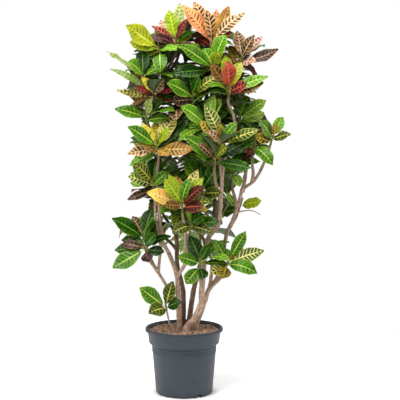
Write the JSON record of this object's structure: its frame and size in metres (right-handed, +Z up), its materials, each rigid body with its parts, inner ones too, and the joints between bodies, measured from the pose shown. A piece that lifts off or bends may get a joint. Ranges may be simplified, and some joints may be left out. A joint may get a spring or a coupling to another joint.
{
  "type": "potted croton",
  "caption": "Croton house plant in a moulded nursery pot: woody stems fork out of the peat and end in rosettes of broad variegated leaves.",
  "frame": {"origin": "centre of the pot's flat underside", "axes": "+Z up along the plant's height; the side that was pictured is -Y; +X is to the right of that view"},
  "size_m": [0.6745, 0.4803, 1.4716],
  "materials": {
    "pot": "slate grey injection-moulded polypropylene, satin",
    "peat": "dry brown peat with bits of wood",
    "bark": "pale brown bark with leaf scars",
    "leaf_green": "glossy dark green leaf with yellow veins",
    "leaf_lime": "glossy young lime green leaf",
    "leaf_gold": "glossy leaf with broad gold veins",
    "leaf_orange": "glossy orange leaf with dark blotches",
    "leaf_red": "glossy red leaf with dark blotches",
    "leaf_bronze": "glossy bronze leaf with pink veins"
  },
  "bodies": {
    "root": {"pot": "pot", "soil": "peat", "stem_left": "bark", "stem_back_left": "bark", "stem_back": "bark", "stem_front": "bark", "stem_right": "bark", "shoot_front_left": "bark", "leaves_top_orange": "leaf_orange", "leaves_top_green": "leaf_lime", "leaves_left_lime": "leaf_lime", "leaves_right_brown": "leaf_bronze", "leaves_right_red": "leaf_red", "leaves_upper_centre": "leaf_green", "leaves_left_upper": "leaf_lime", "leaves_left_red": "leaf_red", "leaves_centre_upper": "leaf_green", "leaves_left_mid": "leaf_green", "leaves_centre_mid": "leaf_green", "leaves_centre_veined": "leaf_gold", "leaves_right_big": "leaf_green", "leaves_far_right": "leaf_green", "leaves_right_low": "leaf_green", "leaves_left_centre": "leaf_gold", "leaves_right_centre": "leaf_green", "leaves_left_low_mid": "leaf_green", "leaves_centre_yellow": "leaf_gold", "leaves_centre_dark": "leaf_green", "leaves_right_inner": "leaf_green", "leaves_right_small": "leaf_lime", "leaves_low_left_up": "leaf_green", "leaves_low_left": "leaf_green", "leaves_centre_low": "leaf_green", "leaves_centre_low_dark": "leaf_green", "leaves_low_right": "leaf_gold", "leaves_bottom_left": "leaf_green", "leaves_rear_top_left": "leaf_green", "leaves_rear_top_right": "leaf_lime", "leaves_rear_crown": "leaf_orange", "leaves_rear_right_high": "leaf_red", "leaves_rear_left_high": "leaf_bronze", "leaves_rear_centre_high": "leaf_green", "leaves_rear_left_mid": "leaf_green", "leaves_rear_centre_mid": "leaf_gold", "leaves_rear_right_mid": "leaf_green", "leaves_rear_left_inner": "leaf_green", "leaves_rear_right_inner": "leaf_green", "leaves_rear_left_low": "leaf_gold", "leaves_rear_centre_low": "leaf_green", "leaves_inner_top": "leaf_green", "leaves_inner_top_right": "leaf_green", "leaves_inner_top_left": "leaf_green", "leaves_inner_high": "leaf_bronze", "leaves_inner_right": "leaf_green", "leaves_inner_left": "leaf_green", "leaves_inner_centre": "leaf_green", "leaves_inner_left_low": "leaf_bronze", "leaves_inner_low": "leaf_green"}
  },
  "joints": []
}
